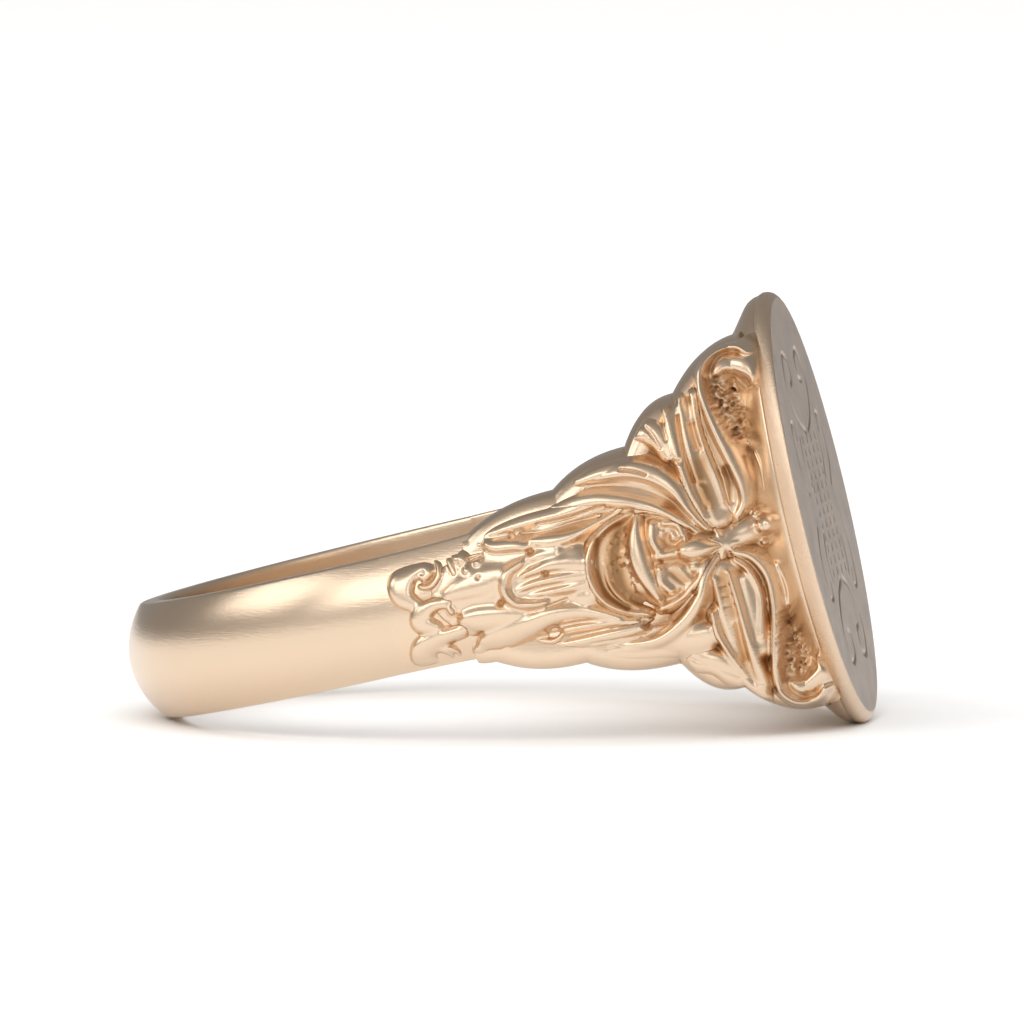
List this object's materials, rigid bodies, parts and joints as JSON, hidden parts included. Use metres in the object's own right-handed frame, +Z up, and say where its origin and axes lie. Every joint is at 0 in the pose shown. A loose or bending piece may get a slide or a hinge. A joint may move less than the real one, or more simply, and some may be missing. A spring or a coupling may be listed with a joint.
{
  "type": "signet ring",
  "caption": "Signet ring lying on its side: plain half-round band, flared shoulders carved with scrolls and leaves, oval engraved plate on a waisted head.",
  "frame": {"origin": "centre of the finger hole, on its axis and half-way along it", "axes": "+Z up from the table that the ring lies on; +X towards the head and its plate; the finger hole's axis leans back from +Z towards -X by 13.3 degrees"},
  "size_m": [0.0258, 0.0228, 0.0148],
  "materials": {
    "polished_gold": "polished gold with fine wear",
    "carved_gold": "carved and polished gold, tone left in the recesses",
    "antiqued_gold": "carved gold with orange-brown tone in the hollows",
    "satin_gold": "fine satin gold, engraved"
  },
  "bodies": {
    "root": {"shank": "polished_gold", "head": "polished_gold", "neck": "polished_gold", "signet_plate": "satin_gold", "left_shoulder": "carved_gold", "left_tip_scrolls": "carved_gold", "left_stalk": "carved_gold", "left_shell": "antiqued_gold", "left_bud": "antiqued_gold", "left_pearl": "carved_gold", "left_upper_edge": "carved_gold", "left_lower_edge": "carved_gold", "left_upper_leaf": "carved_gold", "left_lower_leaf": "carved_gold", "left_upper_husk": "antiqued_gold", "left_lower_husk": "antiqued_gold", "left_upper_scroll": "carved_gold", "left_lower_scroll": "carved_gold", "right_shoulder": "carved_gold", "right_tip_scrolls": "carved_gold", "right_stalk": "carved_gold", "right_shell": "antiqued_gold", "right_bud": "antiqued_gold", "right_pearl": "carved_gold", "right_upper_edge": "carved_gold", "right_lower_edge": "carved_gold", "right_upper_leaf": "carved_gold", "right_lower_leaf": "carved_gold", "right_upper_husk": "antiqued_gold", "right_lower_husk": "antiqued_gold", "right_upper_scroll": "carved_gold", "right_lower_scroll": "carved_gold"}
  },
  "joints": []
}
